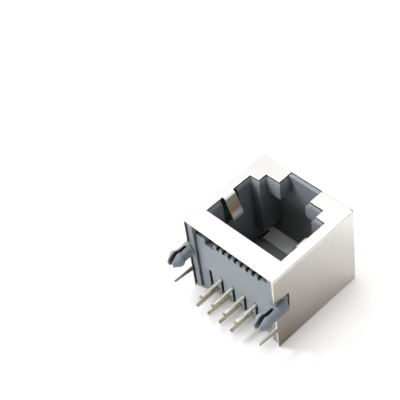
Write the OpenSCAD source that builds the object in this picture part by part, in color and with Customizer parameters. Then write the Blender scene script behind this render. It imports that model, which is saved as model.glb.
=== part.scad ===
// Shielded 8-way modular jack for a circuit board, plug entry to the front, latch side away from the board.
// Each piece is drawn as mounted: x across, y from the front plate back, z up from the board.
// stand_on_rear() then stands the jack on its rear face, plug opening up, board side towards -Y.

/* [Shield] */
// Width over the shield's side plates
jack_w = 15.4; // [15.2:0.1:17]
// Height from the board to the top of the shield
jack_h = 14.8; // [14.6:0.1:16]
// Depth from the front plate to the rear edges
jack_d = 13.2; // [13:0.1:16]
// Thickness of the shield sheet
sheet_t = 0.25; // [0.2:0.01:0.3]
// Outside radius of the shield's folds
fold_r = 0.4; // [0.32:0.01:0.6]
// Width of the seam between the front plate and a side plate
seam_gap = 0.06; // [0.03:0.01:0.12]
// Depth position of the front edge of the peg notch
notch_y = 4.5; // [4.2:0.1:4.7]
// Width of the peg notch in a side plate
notch_w = 2.9; // [2.6:0.1:3.2]
// Height of the peg notch above the board
notch_h = 2.55; // [2.4:0.05:3]

/* [Plug opening in the front plate] */
// Height of the lower edge of the opening
opening_z = 2.95; // [2.8:0.05:3.2]
// Width of the plug part of the opening
plug_w = 12.7; // [12.4:0.1:12.8]
// Height of the first shoulder
shoulder1_z = 10.85; // [10.6:0.05:11]
// Width between the first shoulders
step_w = 9.7; // [9.2:0.1:10]
// Height of the second shoulder
shoulder2_z = 12.25; // [12:0.05:12.5]
// Width of the latch notch
latch_w = 5.2; // [4.6:0.1:6]

/* [Ground tabs and fingers] */
// Depth position of a ground tab's straight front edge
tab_y = 9.2; // [8.8:0.1:9.6]
// Width of a ground tab where it leaves the side plate
tab_root_w = 0.9; // [0.7:0.05:1.2]
// Width of a ground tab at its tip
tab_tip_w = 0.5; // [0.3:0.05:0.6]
// Height of the middle of a ground finger
finger_z = 6.75; // [6.5:0.05:7]
// Width of a ground finger
finger_w = 1.8; // [1.4:0.1:2.2]
// Middle radius of a finger's bend behind the front plate
finger_root_r = 0.5; // [0.35:0.05:0.55]
// Depth of a ground finger's crest behind the front plate
finger_crest_y = 3.3; // [3:0.1:3.6]
// Depth of a ground finger's free end
finger_end_y = 4.3; // [4.1:0.1:4.6]
// How far a finger's crest stands in from the edge of the opening
finger_crest_in = 1.55; // [1.3:0.05:1.7]
// How far a finger's free end stands in from the edge of the opening
finger_end_in = 0.8; // [0.6:0.05:1]
// Middle radius of a finger's crest
finger_crest_r = 0.7; // [0.5:0.05:0.8]

/* [Rear lugs] */
// Reach of the two lugs beside the board
low_lug_reach = 0.75; // [0.5:0.05:0.9]
// Height of the two lugs beside the board
low_lug_h = 1.35; // [1:0.05:1.6]
// Reach of the two lugs beside the top plate
high_lug_reach = 1.5; // [1:0.1:2]
// Height of the two lugs beside the top plate
high_lug_h = 1.7; // [1.2:0.1:2]
// How far the two upper lugs stand above the top of the rear wall
high_lug_gap = 0.35; // [0.2:0.05:0.6]

/* [Housing] */
// Slip clearance between the shield and the plastic inside it
shell_gap = 0.1; // [0.05:0.01:0.15]
// Slip clearance between the housing and the contact carrier
carrier_gap = 0.05; // [0.03:0.01:0.08]
// How far the side rails stand back from the board plane
rail_recess = 0.25; // [0.15:0.05:0.35]
// Thickness of the housing's roof
roof_t = 0.55; // [0.4:0.05:0.7]
// How far the plug cavity stands in from the edge of the opening
cavity_inset = 0.43; // [0.3:0.01:0.5]
// Width of the side rails that hold the carrier between them
rail_w = 0.9; // [0.85:0.05:1.2]
// Depth of the sloped lead-in at the mouth of the cavity
lead_in_d = 0.6; // [0.4:0.05:0.8]
// Depth of the latch ring behind the front plate
ring_d = 2.4; // [2:0.1:3.2]
// Depth position of the rear end of the corner ribs
rib_end_y = 9.7; // [9:0.1:10.5]
// Depth of the finger pockets in the side walls
finger_pocket_x = 0.95; // [0.8:0.05:1]
// Height left free above and below a ground finger
finger_free = 0.5; // [0.3:0.05:0.6]
// Space between the edge of the peg notch and the pad that fills it
pad_gap = 0.25; // [0.15:0.05:0.35]
// How far the plastic stands back from the shield's face in the peg and latch notches
flush_recess = 0.05; // [0.02:0.01:0.1]

/* [Board pegs] */
// How far a peg's centre stands in from the side of the shield
peg_inset = 0.08; // [0:0.01:0.3]
// Diameter of a peg's stem
peg_d = 1.9; // [1.7:0.05:2]
// Diameter of the lower end of a peg's boss
boss_d = 2.1; // [2.05:0.05:2.3]
// Diameter of the upper end of a peg's boss, less by the draft of the mould
boss_top_d = 2; // [1.8:0.05:2]
// Length of the sloped neck from the boss to the stem
neck_len = 0.1; // [0.05:0.01:0.15]
// Diameter over a peg's barb
barb_d = 2.4; // [2.2:0.05:2.6]
// Height of a boss above the board
boss_z = 1.75; // [1.4:0.05:2]
// Width of the sloped edge round the top of a boss
boss_edge = 0.2; // [0.1:0.05:0.3]
// Length of a peg below the board plane
peg_len = 3.15; // [2.8:0.05:3.4]
// Length of the straight stem below the board plane
stem_len = 1.4; // [1.2:0.05:1.6]
// Length of the slope from the stem out to the barb
barb_slope = 0.35; // [0.2:0.05:0.4]
// Length of the widest part of the barb
barb_band = 0.4; // [0.2:0.05:0.5]
// Diameter of a peg's tip
peg_tip_d = 1.2; // [1:0.05:1.4]
// Width of the slit at its closed end
slit_w = 0.4; // [0.3:0.05:0.5]
// Width of the slit at the tip
slit_tip_w = 0.8; // [0.6:0.05:0.9]

/* [Contact carrier] */
// How far the carrier floor stands back from the board plane
floor_recess = 0.6; // [0.4:0.05:0.7]
// Height of the carrier floor's upper face above the board
floor_top_z = 3; // [2.8:0.05:3.2]
// Depth position of the comb at the carrier's front edge
comb_y = 2.45; // [2.2:0.05:2.7]
// Depth of the comb slots
comb_slot_d = 0.6; // [0.5:0.05:0.7]
// Depth of the wide slot that replaces the last two comb slots beside contact_1
end_slot_d = 1; // [0.8:0.05:1.2]
// Length of the flat shelf that the comb is cut into
shelf_d = 0.85; // [0.8:0.05:1]
// Length of the sloped band behind the shelf
bevel_d = 0.75; // [0.6:0.05:0.9]
// Height of the sloped band behind the shelf
bevel_h = 0.1; // [0.05:0.05:0.2]
// Thickness of the carrier's rear wall
rear_wall_t = 0.95; // [0.8:0.05:1]
// Space between the rear wall and the top of the shield
rear_gap_h = 3.8; // [3.4:0.1:4.2]
// Lower end of the guide slots in the rear wall
guide_z0 = 3.4; // [3.3:0.05:3.6]
// Upper end of the guide slots in the rear wall
guide_z1 = 8.35; // [8:0.05:8.8]
// Width of the guide slots and the floor slots
slot_w = 0.5; // [0.45:0.01:0.54]
// Clearance round a contact: below its run, in front of its tail and behind its loop
run_play = 0.12; // [0.05:0.01:0.2]
// Wall left between the run grooves and the rear wall
groove_end = 0.3; // [0.2:0.05:0.4]
// Half width of the stepped rear edge
step_half_w = 4.95; // [4.9:0.01:5.2]
// Height of the inner end of the rear ledge
ledge_in_z = 2.2; // [2.05:0.05:2.4]
// Height of the outer end of the rear ledge
ledge_out_z = 2.9; // [2.6:0.05:3.1]
// Width of a corner pocket at the rear
pocket_w = 1; // [0.8:0.05:1.1]
// Height of a corner pocket at the rear
pocket_h = 1.1; // [0.9:0.05:1.2]
// Depth of a corner pocket
pocket_d = 2.5; // [1:0.1:3]
// Height of a corner pocket's lower edge above the carrier floor's underside
pocket_raise = 0.45; // [0.3:0.05:0.6]

/* [Contacts] */
// Spacing of the contacts
pitch = 1.016; // [1:0.002:1.03]
// Width of a contact strip
contact_w = 0.38; // [0.3:0.01:0.4]
// Thickness of a contact strip
contact_t = 0.3; // [0.25:0.01:0.35]
// Distance from the rear edges of the shield to the front row of tails
tail_back = 4.6; // [4.4:0.05:4.8]
// Distance between the two rows of tails
row_gap = 2.54; // [2.4:0.02:2.6]
// Length of a tail below the board plane
tail_len = 3.2; // [2.8:0.05:3.4]
// Middle height of a contact's run inside the carrier floor
run_z = 1.8; // [1.7:0.05:1.9]
// Middle radius of the bend from a contact's tail into its run
tail_bend_r = 0.27; // [0.22:0.01:0.35]
// Height of a contact's front loop
loop_h = 0.9; // [0.8:0.05:1]
// Middle radius of the bend at the foot of the loop
loop_foot_r = 0.4; // [0.3:0.01:0.42]
// Middle radius of the bend at the top of the loop
loop_top_r = 0.25; // [0.2:0.01:0.3]
// How far a contact's front loop leans forward at the top
loop_lean = 0.09; // [0.05:0.01:0.12]
// How far a contact's free end stays below the top of its guide slot
end_drop = 1.1; // [0.9:0.05:2]
// How far a contact's free end reaches into its guide slot
end_reach = 0.55; // [0.3:0.05:0.7]

/* [Hidden] */
$fn = 48;
CONTACTS = 8;
POSITIONS = 10;

// How far cutters run past a face, and joined shapes into each other
cut = 1;
join = 0.5;
half_w = jack_w / 2;
in_half_w = half_w - sheet_t;
body_half_w = in_half_w - shell_gap;
body_y0 = sheet_t + shell_gap;
body_y1 = jack_d - sheet_t - shell_gap;
body_top_z = jack_h - sheet_t - shell_gap;
cavity_half_w = plug_w / 2 - cavity_inset;
step_half = step_w / 2 - cavity_inset;
latch_half = latch_w / 2 - cavity_inset;
ceiling_z = body_top_z - roof_t;
rail_in_x = body_half_w - rail_w;
carrier_half_w = rail_in_x - carrier_gap;
bay_top_z = floor_top_z + carrier_gap;
wall_y0 = body_y1 - rear_wall_t;
wall_top_z = jack_h - rear_gap_h;
peg_x = half_w - peg_inset;
peg_y = notch_y + notch_w / 2;
finger_pocket_y = finger_end_y + finger_free;
skin_z = run_z - contact_t / 2 - run_play;
reach_below = max(tail_len, peg_len);
mid_z = (jack_h - reach_below) / 2;

function unit(v) = v / norm(v);
function turned(v, a) = [v[0] * cos(a) - v[1] * sin(a), v[0] * sin(a) + v[1] * cos(a)];
function left_of(v) = [-v[1], v[0]];

// The corner q of the path p, q, s as an arc of radius r in n steps
function arc_corner(p, q, s, r, n) =
    let (a = unit(p - q), b = unit(s - q), half = acos(a * b) / 2)
    let (centre = q + unit(a + b) * r / sin(half), start = q + a * r / tan(half) - centre)
    let (way = a[0] * b[1] - a[1] * b[0] > 0 ? -1 : 1, sweep = 180 - 2 * half)
    [for (k = [0 : n]) centre + turned(start, way * sweep * k / n)];

// A path with each inner corner i rounded to radius radii[i - 1]
function rounded(path, radii, n = 8) =
    let (last = len(path) - 1)
    concat([path[0]],
           [for (i = [1 : last - 1]) each arc_corner(path[i - 1], path[i], path[i + 1], radii[i - 1], n)],
           [path[last]]);

// The point i of a path moved sideways by w, mitred where the path turns
function beside(path, i, w) =
    let (before = left_of(unit(path[max(i, 1)] - path[max(i, 1) - 1])))
    let (last = len(path) - 1, after = left_of(unit(path[min(i, last - 1) + 1] - path[min(i, last - 1)])))
    path[i] + (before + after) * w / (1 + before * after);

// A flat strip of thickness t along a path
module strip(path, t) {
    count = len(path);
    polygon(concat([for (i = [0 : count - 1]) beside(path, i, t / 2)],
                   [for (i = [count - 1 : -1 : 0]) beside(path, i, -t / 2)]));
}

// A box between two values on each axis
module block(x, y, z) {
    translate([x[0], y[0], z[0]]) cube([x[1] - x[0], y[1] - y[0], z[1] - z[0]]);
}

// A (y, z) outline extruded across the jack
module across(x0, x1) {
    translate([x0, 0, 0]) rotate([90, 0, 90]) linear_extrude(x1 - x0) children();
}

// An (x, z) outline extruded from front to rear
module along(y0, y1) {
    translate([0, y1, 0]) rotate([90, 0, 0]) linear_extrude(y1 - y0) children();
}

module both_sides() {
    children();
    mirror([1, 0, 0]) children();
}

module stand_on_rear() {
    translate([0, -mid_z, jack_d]) rotate([-90, 0, 0]) children();
}

// Centre of contact position i, where 0 is contact_1 and the comb has one spare place at each end
function position_x(i) = (i - (CONTACTS - 1) / 2) * pitch;

// Odd positions have their tail in the front row, even ones in the rear row
function tail_y(i) = jack_d - tail_back + (abs(i % 2) == 1 ? 0 : row_gap);

// ---- shield ----

// Outline of a folded corner: square outside the fold, round inside it
module fold_corner(at, dir) {
    translate(at) difference() {
        translate([dir[0] > 0 ? 0 : -fold_r, dir[1] > 0 ? 0 : -fold_r]) square(fold_r);
        circle(fold_r);
    }
}

module shield_channel_outline() {
    difference() {
        translate([-half_w, 0]) square([jack_w, jack_h]);
        translate([-in_half_w, -cut]) square([2 * in_half_w, jack_h - sheet_t + cut]);
        for (side = [-1, 1])
            fold_corner([side * (half_w - fold_r), jack_h - fold_r], [side, 1]);
    }
}

module shield_front_fold_outline() {
    difference() {
        square([fold_r, jack_h]);
        translate([sheet_t, -cut]) square([fold_r, jack_h - sheet_t + cut]);
        fold_corner([fold_r, jack_h - fold_r], [-1, 1]);
    }
}

module shield_front_plate() {
    block([-half_w, half_w], [0, sheet_t], [0, jack_h - fold_r]);
    across(-half_w + fold_r, half_w - fold_r) shield_front_fold_outline();
}

module plug_opening_cut() {
    y = [-cut, sheet_t + cut];
    block([-plug_w / 2, plug_w / 2], y, [opening_z, shoulder1_z]);
    block([-step_w / 2, step_w / 2], y, [opening_z, shoulder2_z]);
    block([-latch_w / 2, latch_w / 2], y, [opening_z, jack_h - sheet_t]);
}

// A finger leaves the edge of the opening, swells towards the plug and curls back at its end
module ground_finger() {
    edge_x = plug_w / 2;
    path = [[edge_x + sheet_t, sheet_t / 2], [edge_x - sheet_t, sheet_t / 2],
            [edge_x - finger_crest_in, finger_crest_y], [edge_x - finger_end_in, finger_end_y]];
    translate([0, 0, finger_z - finger_w / 2]) linear_extrude(finger_w)
        strip(rounded(path, [finger_root_r, finger_crest_r]), sheet_t);
}

// A tab's outline on the side plate: straight in front, slanted behind, with a cut corner
module ground_tab_outline() {
    tip_cut = tab_tip_w / 3;
    polygon([[tab_y, join], [tab_y, -tail_len], [tab_y + tab_tip_w - tip_cut, -tail_len],
             [tab_y + tab_tip_w, -tail_len + tip_cut],
             [tab_y + tab_root_w, 0], [tab_y + tab_root_w, join]]);
}

module rear_lug(reach, z0, z1) {
    block([half_w - reach, in_half_w + sheet_t / 2], [jack_d - sheet_t, jack_d], [z0, z1]);
}

module shield() {
    low_lug_z = rail_recess;
    high_lug_z = wall_top_z + high_lug_gap;
    color([0.86, 0.86, 0.84]) stand_on_rear() union() {
        difference() {
            union() {
                along(sheet_t + seam_gap, jack_d) shield_channel_outline();
                shield_front_plate();
            }
            plug_opening_cut();
            block([-half_w - cut, half_w + cut], [notch_y, notch_y + notch_w], [-cut, notch_h]);
        }
        both_sides() {
            ground_finger();
            across(in_half_w, half_w) ground_tab_outline();
            rear_lug(low_lug_reach, low_lug_z, low_lug_z + low_lug_h);
            rear_lug(high_lug_reach, high_lug_z, high_lug_z + high_lug_h);
        }
    }
}

// ---- housing ----

// A rectangular opening with its mouth flared towards the front
module flared_window(half, z0, z1, y1) {
    mouth_y = body_y0 - cut;
    throat_y = body_y0 + lead_in_d;
    flare = cavity_inset - shell_gap / 2;
    reach = flare * (lead_in_d + cut) / lead_in_d;
    intersection() {
        translate([0, 0, z0 - reach]) linear_extrude(z1 - z0 + 2 * reach)
            polygon([[-half - reach, mouth_y], [-half, throat_y], [-half, y1],
                     [half, y1], [half, throat_y], [half + reach, mouth_y]]);
        across(-half - reach, half + reach)
            polygon([[mouth_y, z0 - reach], [throat_y, z0], [y1, z0],
                     [y1, z1], [throat_y, z1], [mouth_y, z1 + reach]]);
    }
}

module plug_cavity() {
    rear_y = body_y1 + cut;
    flared_window(cavity_half_w, -cut, shoulder1_z - cavity_inset, rear_y);
    flared_window(step_half, -cut, shoulder2_z - cavity_inset, rear_y);
    flared_window(latch_half, -cut, ceiling_z, rear_y);
    // Behind the latch ring the cavity opens up to the roof
    block([-step_half, step_half], [body_y0 + ring_d, rear_y], [0, ceiling_z]);
    // Behind the corner ribs it opens out to the side walls
    block([-cavity_half_w, cavity_half_w], [rib_end_y, rear_y], [0, ceiling_z]);
}

// Bay for the carrier between the rails and behind the cavity
module carrier_bay() {
    block([-rail_in_x, rail_in_x], [body_y0 - cut, body_y1 + cut], [-cut, bay_top_z]);
    block([-rail_in_x, rail_in_x], [wall_y0 - carrier_gap, body_y1 + cut], [-cut, ceiling_z]);
}

module finger_pockets() {
    z0 = finger_z - finger_w / 2 - finger_free;
    z1 = finger_z + finger_w / 2 + finger_free;
    both_sides()
        block([0, cavity_half_w + finger_pocket_x], [body_y0 - cut, finger_pocket_y], [z0, z1]);
}

module corner_pockets() {
    z0 = floor_recess + pocket_raise;
    both_sides()
        block([rail_in_x - pocket_w, rail_in_x], [body_y1 - pocket_d, body_y1 + cut], [z0, z0 + pocket_h]);
}

// Pad that fills the notch in the side plate behind a peg
module peg_pad() {
    block([body_half_w - join, half_w - flush_recess], [notch_y + pad_gap, notch_y + notch_w - pad_gap],
          [rail_recess, notch_h - pad_gap]);
}

// Lip of the roof that fills the top of the latch notch in the front plate
module latch_lip() {
    lip_half = latch_w / 2 - shell_gap;
    block([-lip_half, lip_half], [flush_recess, body_y0 + lead_in_d], [ceiling_z, body_top_z]);
}

// A split peg, turned about its own axis and slit from the tip up
module board_peg() {
    top_r = boss_top_d / 2;
    barb_z = -stem_len - barb_slope;
    translate([peg_x, peg_y, 0]) difference() {
        rotate_extrude()
            polygon([[0, boss_z], [top_r - boss_edge, boss_z], [top_r, boss_z - boss_edge],
                     [boss_d / 2, 0], [peg_d / 2, -neck_len], [peg_d / 2, -stem_len],
                     [barb_d / 2, barb_z], [barb_d / 2, barb_z - barb_band],
                     [peg_tip_d / 2, -peg_len], [0, -peg_len]]);
        rotate([90, 0, 0]) linear_extrude(2 * barb_d, center = true) {
            polygon([[-slit_w / 2, -slit_w], [slit_w / 2, -slit_w],
                     [slit_tip_w / 2, -peg_len - cut], [-slit_tip_w / 2, -peg_len - cut]]);
            translate([0, -slit_w]) circle(slit_w / 2);
        }
    }
}

module housing() {
    color([0.66, 0.70, 0.75]) stand_on_rear() union() {
        difference() {
            block([-body_half_w, body_half_w], [body_y0, body_y1], [rail_recess, body_top_z]);
            plug_cavity();
            carrier_bay();
            finger_pockets();
        }
        latch_lip();
        both_sides() {
            peg_pad();
            board_peg();
        }
    }
}

// ---- contact carrier ----

module carrier_outline() {
    shelf_y = comb_y + shelf_d;
    polygon([[comb_y, floor_recess + bevel_h], [shelf_y, floor_recess + bevel_h],
             [shelf_y + bevel_d, floor_recess], [body_y1, floor_recess], [body_y1, wall_top_z],
             [wall_y0, wall_top_z], [wall_y0, floor_top_z], [comb_y, floor_top_z]]);
}

// The board side of the rear edge is cut back to a ledge between the two corner blocks
module rear_step() {
    across(-step_half_w, step_half_w)
        polygon([[wall_y0, 0], [body_y1 + cut, 0], [body_y1 + cut, ledge_out_z],
                 [body_y1, ledge_out_z], [wall_y0, ledge_in_z]]);
}

// The comb has no tooth between the spare place and contact_1
module end_slot() {
    block([position_x(-1) - slot_w / 2, position_x(0) + slot_w / 2],
          [comb_y - cut, comb_y + end_slot_d], [0, floor_top_z + cut]);
}

// Groove, comb slot, floor slot and guide slot of one contact position
module position_cuts(i) {
    x = [position_x(i) - slot_w / 2, position_x(i) + slot_w / 2];
    slot_y = tail_y(i) - contact_t / 2 - run_play;
    block(x, [comb_y - cut, wall_y0 - groove_end], [skin_z, floor_top_z + cut]);
    block(x, [comb_y - cut, comb_y + comb_slot_d], [0, floor_top_z + cut]);
    block(x, [slot_y, wall_y0 + join], [0, ledge_in_z - run_play]);
    block(x, [wall_y0 - cut, body_y1 + cut], [guide_z0, guide_z1]);
}

module contact_carrier() {
    color([0.64, 0.68, 0.73]) stand_on_rear() difference() {
        across(-carrier_half_w, carrier_half_w) carrier_outline();
        rear_step();
        corner_pockets();
        end_slot();
        for (i = [-1 : POSITIONS - 2])
            position_cuts(i);
    }
}

// ---- contacts ----

// Tail, run through the floor, front loop and spring beam, bent from one strip
module contact(i) {
    front_y = comb_y + comb_slot_d - run_play - contact_t / 2;
    path = rounded([[tail_y(i), -tail_len], [tail_y(i), run_z], [front_y, run_z],
                    [front_y - loop_lean, run_z + loop_h],
                    [wall_y0 + end_reach, guide_z1 - end_drop]],
                   [tail_bend_r, loop_foot_r, loop_top_r]);
    color([0.80, 0.68, 0.42]) stand_on_rear()
        across(position_x(i) - contact_w / 2, position_x(i) + contact_w / 2)
            strip(path, contact_t);
}

shield();
housing();
contact_carrier();
for (i = [0 : CONTACTS - 1])
    contact(i);
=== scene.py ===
import math

import bmesh
import bpy
from mathutils import Matrix, Vector
from mathutils.bvhtree import BVHTree


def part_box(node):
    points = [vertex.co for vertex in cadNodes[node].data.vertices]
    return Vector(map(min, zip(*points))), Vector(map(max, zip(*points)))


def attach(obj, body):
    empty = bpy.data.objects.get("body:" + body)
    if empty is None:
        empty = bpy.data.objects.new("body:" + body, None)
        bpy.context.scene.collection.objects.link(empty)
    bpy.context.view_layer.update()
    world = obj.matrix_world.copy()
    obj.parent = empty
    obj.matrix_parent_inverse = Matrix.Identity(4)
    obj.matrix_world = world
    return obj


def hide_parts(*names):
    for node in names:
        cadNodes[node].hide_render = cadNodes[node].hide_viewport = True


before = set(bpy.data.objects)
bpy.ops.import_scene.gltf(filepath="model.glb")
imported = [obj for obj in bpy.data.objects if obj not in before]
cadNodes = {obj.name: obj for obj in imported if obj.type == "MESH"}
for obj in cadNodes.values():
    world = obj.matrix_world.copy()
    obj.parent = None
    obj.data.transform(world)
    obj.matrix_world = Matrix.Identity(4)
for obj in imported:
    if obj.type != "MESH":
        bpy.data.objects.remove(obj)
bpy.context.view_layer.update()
mm = 0.001
print("frame loaded,", len(cadNodes), "nodes")


nodeSpacing = 220
shadeSamples = 12
noiseRoughness = 0.55
colourMix = dict(first=6, second=7, result=2)  # where a mix node keeps its colour sockets


# The nodes of a material or of the world, laid out leftwards as they are made
class Wiring:
    def __init__(self, owner, shaderName):
        owner.use_nodes = True
        self.owner = owner
        self.nodes = owner.node_tree.nodes
        self.links = owner.node_tree.links
        self.shader = self.nodes[shaderName]
        self.coordinates = self.add("ShaderNodeTexCoord").outputs

    def add(self, kind, **settings):
        node = self.nodes.new(kind)
        node.location = (-nodeSpacing * len(self.nodes), 0)
        for key, value in settings.items():
            setattr(node, key, value)
        return node

    # each socket named takes a number, a colour, a vector or another node's output
    def fill(self, node, values):
        for name, value in values.items():
            socket = node.inputs[name]
            if isinstance(value, bpy.types.NodeSocket):
                self.links.new(value, socket)
            elif socket.type == "RGBA":
                socket.default_value = (*value, 1)
            else:
                socket.default_value = value

    # coordinates in millimetres, stretched by scale on each axis
    def stretched(self, scale):
        mapping = self.add("ShaderNodeMapping")
        self.fill(mapping, {"Vector": self.coordinates["Object"], "Scale": [s / mm for s in scale]})
        return mapping.outputs["Vector"]

    # x, y and z of a vector
    def axes(self, vector):
        split = self.add("ShaderNodeSeparateXYZ")
        self.fill(split, {"Vector": vector})
        return split.outputs

    # scale is in waves to the millimetre
    def noise(self, scale, detail, stretch=(1, 1, 1)):
        node = self.add("ShaderNodeTexNoise")
        self.fill(node, {"Vector": self.stretched(stretch), "Scale": scale, "Detail": detail,
                         "Roughness": noiseRoughness})
        return node.outputs["Fac"]

    # from low at start to high at end, and held there beyond them
    def ranged(self, source, start, end, low=0, high=1):
        node = self.add("ShaderNodeMapRange")
        self.fill(node, {"Value": source, "From Min": start, "From Max": end,
                         "To Min": low, "To Max": high})
        return node.outputs["Result"]

    def combined(self, operation, *sources):
        node = self.add("ShaderNodeMath", operation=operation)
        self.fill(node, dict(enumerate(sources)))
        return node.outputs["Value"]

    def mixed(self, factor, first, second, blend="MIX"):
        node = self.add("ShaderNodeMix", data_type="RGBA", blend_type=blend)
        self.fill(node, {"Factor": factor, colourMix["first"]: first, colourMix["second"]: second})
        return node.outputs[colourMix["result"]]

    # distance is in millimetres
    def bump(self, height, distance, strength):
        node = self.add("ShaderNodeBump")
        self.fill(node, {"Height": height, "Distance": distance * mm, "Strength": strength})
        return node.outputs["Normal"]

    # 0 deep in a slot or a pocket, up to high on an open face; reach is in millimetres
    def openness(self, reach, closed, fullyOpen, high=1):
        node = self.add("ShaderNodeAmbientOcclusion", samples=shadeSamples)
        self.fill(node, {"Distance": reach * mm})
        return self.ranged(node.outputs["AO"], closed, fullyOpen, 0, high)

    # 1 for rays from the camera, a reflection or a clear piece, 0 for the rest
    def seenDirectly(self):
        path = self.add("ShaderNodeLightPath").outputs
        seen = path["Is Camera Ray"]
        for ray in ("Is Glossy Ray", "Is Transmission Ray"):
            seen = self.combined("MAXIMUM", seen, path[ray])
        return seen


def newFinish(name):
    return Wiring(bpy.data.materials.new(name), "Principled BSDF")


# The start and the end of a fade, given as steps in millimetres from a face
def fadeFrom(face, steps):
    return [face + step for step in steps]


# the steps of sideEdge and rearward are from the front plate, those of boardward from the top plate
# painted reflection: front plate lightest, sheet darker towards the board and darker, browner towards
# the floor
platedSheet = dict(bright=(0.79, 0.785, 0.775), cloudy=(0.775, 0.77, 0.76),
                   high=(0.72, 0.71, 0.69), low=(0.45, 0.43, 0.40),
                   paintedRearReflectionTop=(0.52, 0.475, 0.43), paintedRearReflectionBoard=(0.22, 0.165, 0.12),
                   sideEdge=(-0.2, -0.8), shadeTowardsFloor=(-0.1, -15.2), shadeTowardsBoard=(-1.8, -13.5),
                   cloud=dict(scale=0.16, detail=2), cloudRange=(0.4, 0.7),
                   smudge=dict(scale=0.3, detail=2), smudgeRange=(0.3, 0.7), rough=(0.26, 0.28),
                   grain=dict(scale=2.2, detail=3, stretch=(0.25, 0.25, 5.0)),
                   grainDepth=0.0001, grainStrength=0.5)

# the ground fingers: darker at the root, with a painted brown reflection above the crest and a painted
# highlight at it
finger = dict(root=(0.42, 0.40, 0.35), paintedBrownReflection=(0.50, 0.36, 0.27), paintedCrestHighlight=(0.95, 0.94, 0.92),
              rough=0.46, fromSide=(-1.35, -1.5), fromFront=(-0.3, -0.4), fromTop=(-4, -5),
              brownReflectionFromFront=(-1.2, -1.5), crestHighlightFromFront=(-2.1, -2.7))


def platedSheetFinish():
    sideFace, topFace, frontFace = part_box("shield")[1] / mm
    finish = newFinish("platedSheet")
    x, y, z = finish.axes(finish.stretched((1, 1, 1)))
    cloud = finish.ranged(finish.noise(**platedSheet["cloud"]), *platedSheet["cloudRange"])
    # painted reflection of the shaded floor: lightest on the front plate, darker towards the board and
    # the floor
    front = finish.mixed(cloud, platedSheet["bright"], platedSheet["cloudy"])
    shadeTowardsBoard = finish.ranged(y, *fadeFrom(topFace, platedSheet["shadeTowardsBoard"]))
    side = finish.mixed(shadeTowardsBoard, platedSheet["high"], platedSheet["low"])
    rear = finish.mixed(shadeTowardsBoard, platedSheet["paintedRearReflectionTop"], platedSheet["paintedRearReflectionBoard"])
    behindFront = finish.ranged(z, *fadeFrom(frontFace, platedSheet["sideEdge"]))
    shadeTowardsFloor = finish.ranged(z, *fadeFrom(frontFace, platedSheet["shadeTowardsFloor"]))
    sheet = finish.mixed(shadeTowardsFloor, finish.mixed(behindFront, front, side), rear)

    fromMiddle = finish.combined("ABSOLUTE", x)
    inward = finish.ranged(fromMiddle, *fadeFrom(sideFace, finger["fromSide"]))
    underFront = finish.ranged(z, *fadeFrom(frontFace, finger["fromFront"]))
    underTop = finish.ranged(y, *fadeFrom(topFace, finger["fromTop"]))
    onFinger = finish.combined("MULTIPLY", finish.combined("MULTIPLY", inward, underFront), underTop)
    # painted brown reflection above the crest and painted highlight at it, for what the finger
    # reflects
    brownReflectionFade = finish.ranged(z, *fadeFrom(frontFace, finger["brownReflectionFromFront"]))
    paintedCrestHighlight = finish.ranged(z, *fadeFrom(frontFace, finger["crestHighlightFromFront"]))
    aboveCrest = finish.mixed(brownReflectionFade, finger["root"], finger["paintedBrownReflection"])
    fingerColour = finish.mixed(paintedCrestHighlight, aboveCrest, finger["paintedCrestHighlight"])

    smudge = finish.noise(**platedSheet["smudge"])
    smooth = finish.ranged(smudge, *platedSheet["smudgeRange"], *platedSheet["rough"])
    grain = finish.noise(**platedSheet["grain"])
    finish.fill(finish.shader, {
        "Base Color": finish.mixed(onFinger, sheet, fingerColour),
        "Metallic": 1.0,
        "Roughness": finish.ranged(onFinger, 0, 1, smooth, finger["rough"]),
        "Normal": finish.bump(grain, platedSheet["grainDepth"], platedSheet["grainStrength"]),
    })
    return finish.owner


cutEdge = dict(brass=(0.70, 0.66, 0.55), pale=(0.82, 0.80, 0.74), rough=(0.3, 0.45),
               streak=dict(scale=3.0, detail=4), streakRange=(0.35, 0.65),
               streakDepth=0.006, streakStrength=0.5)


def cutEdgeFinish():
    finish = newFinish("cutEdge")
    streak = finish.noise(**cutEdge["streak"])
    pale = finish.ranged(streak, *cutEdge["streakRange"])
    finish.fill(finish.shader, {
        "Base Color": finish.mixed(pale, cutEdge["brass"], cutEdge["pale"]),
        "Metallic": 1.0,
        "Roughness": finish.ranged(streak, 0, 1, *cutEdge["rough"]),
        "Normal": finish.bump(streak, cutEdge["streakDepth"], cutEdge["streakStrength"]),
    })
    return finish.owner


# the well and slot colours are painted shade, laid on where ambient occlusion finds the plastic closed
# in
mouldedPlastic = dict(cloud=dict(scale=0.22, detail=4), cloudRange=(0.35, 0.7),
                      texture=dict(scale=9.0, detail=3), textureRange=(0.3, 0.7),
                      rough=(0.42, 0.56), textureDepth=0.004, textureStrength=0.5,
                      slotReach=1.1, slotRange=(0.25, 0.8), paintedSlotShade=(0.02, 0.023, 0.028),
                      wellReach=12, wellRange=(0.06, 0.45), paintedWellShade=(0.08, 0.08, 0.09),
                      outOfWell=(1.0, 1.0, 1.0), milkiness=0.12, milkyDepth=0.6,
                      milkySpread=(1.0, 1.0, 1.0), bending=1.5)


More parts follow.
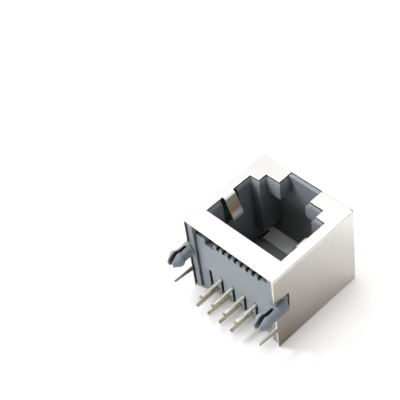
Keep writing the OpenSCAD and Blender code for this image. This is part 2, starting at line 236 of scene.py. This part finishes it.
# Clouded plastic with painted shade in the plug well, and painted shade, nearly black, in narrow slots
def mouldedFinish(name, body, shade):
    finish = newFinish(name)
    cloud = finish.ranged(finish.noise(**mouldedPlastic["cloud"]), *mouldedPlastic["cloudRange"])
    clouded = finish.mixed(cloud, body, shade)
    # painted shade: darker deep in the plug well and nearly black in narrow slots
    well = finish.openness(mouldedPlastic["wellReach"], *mouldedPlastic["wellRange"])
    wellShade = finish.mixed(well, mouldedPlastic["paintedWellShade"], mouldedPlastic["outOfWell"])
    shaded = finish.mixed(1, clouded, wellShade, "MULTIPLY")
    slot = finish.openness(mouldedPlastic["slotReach"], *mouldedPlastic["slotRange"])
    texture = finish.noise(**mouldedPlastic["texture"])
    finish.fill(finish.shader, {
        "Base Color": finish.mixed(slot, mouldedPlastic["paintedSlotShade"], shaded),
        "Roughness": finish.ranged(texture, *mouldedPlastic["textureRange"], *mouldedPlastic["rough"]),
        "Normal": finish.bump(texture, mouldedPlastic["textureDepth"],
                              mouldedPlastic["textureStrength"]),
        "Subsurface Weight": mouldedPlastic["milkiness"],
        "Subsurface Scale": mouldedPlastic["milkyDepth"] * mm,
        "Subsurface Radius": mouldedPlastic["milkySpread"],
        "IOR": mouldedPlastic["bending"],
    })
    return finish.owner


# the steps of tail and sheared are from the tips of the tails, and rearRow is from the rear edges
strip = dict(gold=(0.72, 0.62, 0.38), tin=(0.74, 0.72, 0.64), rearRowPaintedShade=(0.42, 0.39, 0.27),
             brown=(0.28, 0.235, 0.18), tail=(4.8, 3.8), sheared=(0.4, 0.12), rearRow=(3.9, 2.9),
             patch=dict(scale=0.8, detail=1), patchRange=(0.3, 0.7), rough=(0.30, 0.36),
             patchDepth=0.0005, patchStrength=0.2)


# Gold above the floor, tin on the tail, painted shade in the rear row, and bare brown where it was
# sheared
def contactFinish():
    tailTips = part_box("contact_1")[0].y / mm
    finish = newFinish("contactStrip")
    axes = finish.axes(finish.stretched((1, 1, 1)))
    onTail = finish.ranged(axes["Y"], *fadeFrom(tailTips, strip["tail"]))
    sheared = finish.ranged(axes["Y"], *fadeFrom(tailTips, strip["sheared"]))
    # the rear row is painted darker, for the shade and reflection of the front row above it
    inRearRow = finish.ranged(axes["Z"], *strip["rearRow"])
    tinned = finish.mixed(inRearRow, strip["tin"], strip["rearRowPaintedShade"])
    plated = finish.mixed(onTail, strip["gold"], tinned)
    patch = finish.noise(**strip["patch"])
    finish.fill(finish.shader, {
        "Base Color": finish.mixed(sheared, plated, strip["brown"]),
        "Metallic": 1.0,
        "Roughness": finish.ranged(patch, *strip["patchRange"], *strip["rough"]),
        "Normal": finish.bump(patch, strip["patchDepth"], strip["patchStrength"]),
    })
    return finish.owner


surface = dict(weld=0.0005 * mm, flatAngle=math.radians(0.5), sharpAngle=math.radians(35),
               narrowCorner=math.radians(24))


# Sharp edges are softened, except those that end at a very narrow corner or beside a very short edge
def weighSoftEdges(bm, shortEdge):
    weight = bm.edges.layers.float.new("bevel_weight_edge")
    tight = set()
    for corner in bm.verts:
        if (any(edge.calc_length() < shortEdge for edge in corner.link_edges)
                or any(loop.calc_angle() < surface["narrowCorner"] for loop in corner.link_loops)):
            tight.add(corner)
    for edge in bm.edges:
        if len(edge.link_faces) == 2 and edge.calc_face_angle() > surface["sharpAngle"]:
            edge[weight] = 0.0 if tight.intersection(edge.verts) else 1.0


# A copy of a node's surface with clean flat faces and its edges weighed for softening
def cleanCopy(nodeName, meshName, shortEdge):
    source = cadNodes[nodeName].data
    corners = [vertex.co.copy() for vertex in source.vertices]
    mesh = bpy.data.meshes.new(meshName)
    mesh.from_pydata(corners, [], [list(polygon.vertices) for polygon in source.polygons])
    bm = bmesh.new()
    bm.from_mesh(mesh)
    bmesh.ops.remove_doubles(bm, verts=bm.verts, dist=surface["weld"])
    bmesh.ops.dissolve_limit(bm, angle_limit=surface["flatAngle"], verts=bm.verts, edges=bm.edges)
    bmesh.ops.recalc_face_normals(bm, faces=bm.faces)
    for face in bm.faces:
        face.smooth = True
    weighSoftEdges(bm, shortEdge)
    bm.to_mesh(mesh)
    bm.free()
    mesh.set_sharp_from_angle(angle=surface["sharpAngle"])
    return mesh


# A piece that stands in for a node, with its finishes and softened edges
def dressed(nodeName, pieceName, finishes, settings):
    mesh = cleanCopy(nodeName, pieceName, settings["shortEdge"] * mm)
    for finish in finishes:
        mesh.materials.append(finish)
    piece = bpy.data.objects.new(pieceName, mesh)
    bpy.context.scene.collection.objects.link(piece)
    soft = piece.modifiers.new("softEdges", "BEVEL")
    soft.width = settings["edgeWidth"] * mm
    soft.segments = settings["segments"]
    soft.limit_method = "WEIGHT"
    soft.use_clamp_overlap = False
    soft.harden_normals = False
    weighted = piece.modifiers.new("evenShading", "WEIGHTED_NORMAL")
    weighted.keep_sharp = True
    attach(piece, "root")
    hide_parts(nodeName)
    return piece


# farSide is in thicknesses of the sheet, and the other lengths are in millimetres
shieldPiece = dict(edgeWidth=0.035, shortEdge=0.02, segments=2, thickness=0.25, startInside=0.002,
                   farSide=1.6)


# The middle of the widest triangle of each polygon, which always lies on the polygon
def polygonMiddles(mesh):
    mesh.calc_loop_triangles()
    widest, middles = {}, {}
    for triangle in mesh.loop_triangles:
        index = triangle.polygon_index
        if triangle.area > widest.get(index, 0):
            widest[index] = triangle.area
            middles[index] = triangle.center.copy()
    return middles


# Faces of the sheet with no far side close behind them are its cut edges, and take the second finish
def markCutEdges(mesh):
    corners = [vertex.co for vertex in mesh.vertices]
    tree = BVHTree.FromPolygons(corners, [list(polygon.vertices) for polygon in mesh.polygons])
    middles = polygonMiddles(mesh)
    startInside = shieldPiece["startInside"] * mm
    furthest = shieldPiece["farSide"] * shieldPiece["thickness"] * mm
    marked = 0
    for polygon in mesh.polygons:
        start = middles[polygon.index] - polygon.normal * startInside
        hit = tree.ray_cast(start, -polygon.normal)[0]
        if hit is None or (hit - start).length > furthest:
            polygon.material_index = 1
            marked += 1
    return marked


shieldFinishes = [platedSheetFinish(), cutEdgeFinish()]
shield = dressed("shield", "shieldSheet", shieldFinishes, shieldPiece)
print("shield dressed,", markCutEdges(shield.data), "cut faces")

housingPiece = dict(body=(0.345, 0.385, 0.43), shade=(0.325, 0.365, 0.41),
                    edgeWidth=0.06, shortEdge=0.115, segments=2)
housingPlastic = mouldedFinish("housingPlastic", housingPiece["body"], housingPiece["shade"])
dressed("housing", "housingMoulding", [housingPlastic], housingPiece)
print("housing dressed")

carrierPiece = dict(body=(0.37, 0.41, 0.45), shade=(0.35, 0.39, 0.43),
                    edgeWidth=0.042, shortEdge=0.02, segments=2)
carrierPlastic = mouldedFinish("carrierPlastic", carrierPiece["body"], carrierPiece["shade"])
dressed("contact_carrier", "carrierMoulding", [carrierPlastic], carrierPiece)
print("contact carrier dressed")

contactPiece = dict(edgeWidth=0.035, shortEdge=0.02, segments=2)
contactStrip = contactFinish()
contactNames = sorted(name for name in cadNodes if name.startswith("contact_") and name[-1].isdigit())
for number, name in enumerate(contactNames, 1):
    dressed(name, "contactStrip%d" % number, [contactStrip], contactPiece)
print(len(contactNames), "contacts dressed")


# shadeReach is in millimetres, and the other lengths are in metres
floorPlane = dict(size=3.0, drop=0.005 * mm, colour=(0.80, 0.80, 0.80), rough=0.9, glow=0.55,
                  shadeReach=18, openFrom=0.88, litWithin=0.08, whiteBeyond=0.45)


# The glow grows to white far away, and fades close to the part, which paints shade beside and under it
def floorFinish():
    finish = newFinish("floor")
    finish.fill(finish.shader, {"Base Color": floorPlane["colour"], "Roughness": floorPlane["rough"],
                                "Specular IOR Level": 0.0})
    away = finish.add("ShaderNodeVectorMath", operation="LENGTH")
    finish.fill(away, {0: finish.coordinates["Object"]})
    openGlow = finish.ranged(away.outputs["Value"], floorPlane["litWithin"],
                             floorPlane["whiteBeyond"], floorPlane["glow"], 1)
    # painted shade: the glow fades where ambient occlusion finds the floor closed in by the part
    shadedGlow = finish.openness(floorPlane["shadeReach"], 0, floorPlane["openFrom"], openGlow)
    glow = finish.add("ShaderNodeEmission")
    finish.fill(glow, {"Strength": finish.combined("MULTIPLY", finish.seenDirectly(), shadedGlow)})
    both = finish.add("ShaderNodeAddShader")
    finish.fill(both, {0: finish.shader.outputs[0], 1: glow.outputs[0]})
    finish.fill(finish.nodes["Material Output"], {"Surface": both.outputs[0]})
    return finish.owner


def makeFloor():
    half = floorPlane["size"] / 2
    mesh = bpy.data.meshes.new("floor")
    mesh.from_pydata([(-half, -half, 0), (half, -half, 0), (half, half, 0), (-half, half, 0)], [],
                     [(0, 1, 2, 3)])
    mesh.materials.append(floorFinish())
    floor = bpy.data.objects.new("floor", mesh)
    floor.location.z = -floorPlane["drop"]
    bpy.context.scene.collection.objects.link(floor)


surround = dict(colour=(1.0, 1.0, 1.0), seen=1.0, horizon=0.14, zenith=0.0, fade=(0.15, 0.75))


# White where it is seen, and a little light on the part from low down
def makeWorld():
    world = bpy.data.worlds.new("studio")
    bpy.context.scene.world = world
    sky = Wiring(world, "Background")
    height = sky.axes(sky.coordinates["Generated"])["Z"]
    light = sky.ranged(height, *surround["fade"], surround["horizon"], surround["zenith"])
    strength = sky.ranged(sky.seenDirectly(), 0, 1, light, surround["seen"])
    sky.fill(sky.shader, {"Color": surround["colour"], "Strength": strength})


lamps = {
    "overhead": dict(place=(-0.07, 0.10, 0.60), aim=(0, 0, 0.01), size=0.32, power=2.1,
                     colour=(1.0, 0.99, 0.98)),
    "leftKey": dict(place=(-0.28, -0.16, 0.42), aim=(0, 0, 0.01), size=0.12, power=1.4,
                    colour=(1.0, 0.99, 0.98)),
    "boardFill": dict(place=(-0.12, -0.50, 0.09), aim=(0, 0, 0.008), size=0.16, power=0.65,
                      colour=(0.97, 0.98, 1.0)),
}


def makeLamps():
    for name, lamp in lamps.items():
        data = bpy.data.lights.new(name, "AREA")
        data.size = lamp["size"]
        data.energy = lamp["power"]
        data.color = lamp["colour"]
        light = bpy.data.objects.new(name, data)
        light.location = lamp["place"]
        aim = Vector(lamp["aim"]) - Vector(lamp["place"])
        light.rotation_euler = aim.to_track_quat("-Z", "Y").to_euler()
        bpy.context.scene.collection.objects.link(light)


# right and down are the directions of the view's edges
view = dict(place=(71.473 * mm, -62.805 * mm, 121.499 * mm), lens=105.48, sensorWidth=36,
            right=(0.694906, 0.710090, -0.113482), down=(0.474736, -0.571547, -0.669298),
            nearest=0.005, furthest=10)


def makeCamera():
    right, down = Vector(view["right"]), Vector(view["down"])
    back = right.cross(-down)
    turn = Matrix((right, -down, back)).transposed()
    data = bpy.data.cameras.new("camera")
    data.lens = view["lens"]
    data.sensor_width = view["sensorWidth"]
    data.clip_start = view["nearest"]
    data.clip_end = view["furthest"]
    camera = bpy.data.objects.new("camera", data)
    camera.matrix_world = Matrix.Translation(view["place"]) @ turn.to_4x4()
    bpy.context.scene.collection.objects.link(camera)
    bpy.context.scene.camera = camera


makeFloor()
makeWorld()
makeLamps()
makeCamera()
bpy.context.scene.view_settings.view_transform = "Standard"
print("floor, light and camera set")
